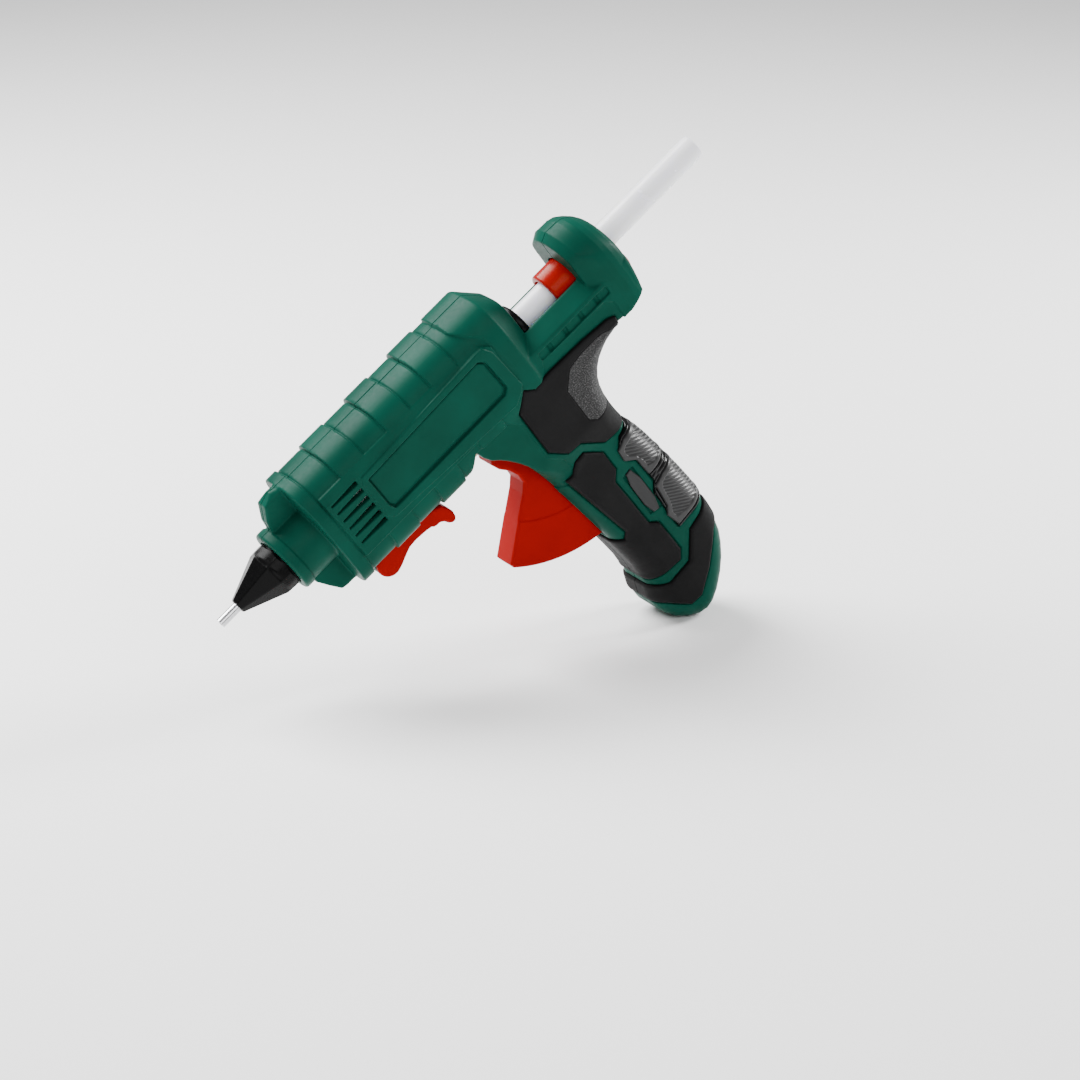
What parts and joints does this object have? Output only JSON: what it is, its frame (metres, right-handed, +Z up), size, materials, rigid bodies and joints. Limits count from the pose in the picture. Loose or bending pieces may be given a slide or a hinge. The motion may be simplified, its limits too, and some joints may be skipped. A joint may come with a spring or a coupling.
{
  "type": "cordless station glue gun",
  "caption": "Hot glue gun with ringed barrel, finned side vents, cone nozzle, open stick feed behind the barrel, sprung trigger, fold-down stand and soft-grip handle.",
  "frame": {"origin": "middle of the gun's box at the level of the foot's flat, the lowest surface", "axes": "+Z up with the gun in its rest attitude, nose down; the nozzle points to -X and down, the glue stick sticks out to +X and up, the gun's left side faces -Y"},
  "size_m": [0.2328, 0.0412, 0.2075],
  "materials": {
    "green_shell": "fine moulded grain, dark green",
    "red_plastic": "satin red",
    "grip_rubber": "soft matt black overmould",
    "gloss_trim": "glossy black",
    "label_plate": "dark satin plate, blank",
    "black_plastic": "moulded black",
    "nozzle_rubber": "black silicone",
    "sleeve_rubber": "black silicone",
    "nozzle_steel": "plated, polished",
    "bright_steel": "ground bright",
    "plain_steel": "zinc plated",
    "chamber_alloy": "die-cast",
    "heater_ceramic": "unglazed ceramic",
    "fuse_body": "pale ceramic",
    "insulator": "glass-filled heatproof board",
    "hot_melt": "translucent milky",
    "lamp_red": "clear red",
    "circuit_board": "green lacquer",
    "contact_brass": "plated",
    "lead_brown": "silicone sleeve",
    "lead_blue": "silicone sleeve"
  },
  "bodies": {
    "gun": {"housing_left": "green_shell", "housing_right": "green_shell", "nozzle_cover": "nozzle_rubber", "nozzle": "nozzle_steel", "melt_chamber": "chamber_alloy", "heater": "heater_ceramic", "heater_wedge": "chamber_alloy", "thermal_fuse": "fuse_body", "front_bracket": "insulator", "rear_bracket": "insulator", "inlet_sleeve": "sleeve_rubber", "trigger_pin": "bright_steel", "trigger_spring": "bright_steel", "stand_pin": "bright_steel", "upper_grip_left": "grip_rubber", "upper_grip_right": "grip_rubber", "lower_grip_left": "grip_rubber", "lower_grip_right": "grip_rubber", "back_panel": "gloss_trim", "back_pad_upper": "grip_rubber", "back_pad_lower": "grip_rubber", "heel_left": "grip_rubber", "heel_right": "grip_rubber", "side_label": "label_plate", "status_lens": "lamp_red", "status_board": "circuit_board", "status_led": "lamp_red", "contact_block": "black_plastic", "contact_sockets": "contact_brass", "lead_live": "lead_brown", "lead_neutral": "lead_blue", "housing_screws": "plain_steel"},
    "valve": {"valve_ball": "bright_steel", "valve_spring": "bright_steel"},
    "glue_stick": {"glue_stick": "hot_melt"},
    "carriage": {"carriage": "red_plastic", "jaw_pin": "bright_steel", "link_pin_rear": "bright_steel"},
    "grip_jaw": {"grip_jaw": "plain_steel"},
    "trigger": {"trigger": "red_plastic", "link_pin_front": "bright_steel"},
    "link_arm": {"link_arm": "plain_steel"},
    "stand": {"stand_lever": "red_plastic"}
  },
  "joints": [
    {"name": "trigger_pull", "type": "hinge", "parent": "gun", "child": "trigger", "pos_m": [0.02559, 0, 0.1049], "axis": [0, -1, 0], "range_deg": [0, 26], "stiffness_Nm_per_rad": 0.6, "springref_deg": -20.05},
    {"name": "carriage_feed", "type": "slide", "parent": "gun", "child": "carriage", "axis": [-0.7997, 0, -0.6004], "range_m": [0, 0.0082]},
    {"name": "link_turn", "type": "hinge", "parent": "trigger", "child": "link_arm", "pos_m": [0.0183, 0, 0.12136], "axis": [0, -1, 0], "range_deg": [-26.2, 0]},
    {"name": "jaw_grip", "type": "hinge", "parent": "carriage", "child": "grip_jaw", "pos_m": [0.05741, 0, 0.1518], "axis": [0, -1, 0], "range_deg": [0, 8.1]},
    {"name": "stick_slide", "type": "slide", "parent": "gun", "child": "glue_stick", "axis": [0.7997, 0, 0.6004], "range_m": [-0.003, 0.12]},
    {"name": "stand_fold", "type": "hinge", "parent": "gun", "child": "stand", "pos_m": [-0.04158, 0, 0.05047], "axis": [0, 1, 0], "range_deg": [0, 100]},
    {"name": "valve_lift", "type": "slide", "parent": "gun", "child": "valve", "axis": [-0.7997, 0, -0.6004], "range_m": [0, 0.0008], "stiffness_N_per_m": 120, "springref_m": -0.002}
  ],
  "couplings": [
    {"joint": "carriage_feed", "follows": "trigger_pull", "m_per_rad": 0.017846},
    {"joint": "link_turn", "follows": "trigger_pull", "ratio": -1},
    {"joint": "jaw_grip", "follows": "trigger_pull", "ratio": 0.30769}
  ]
}
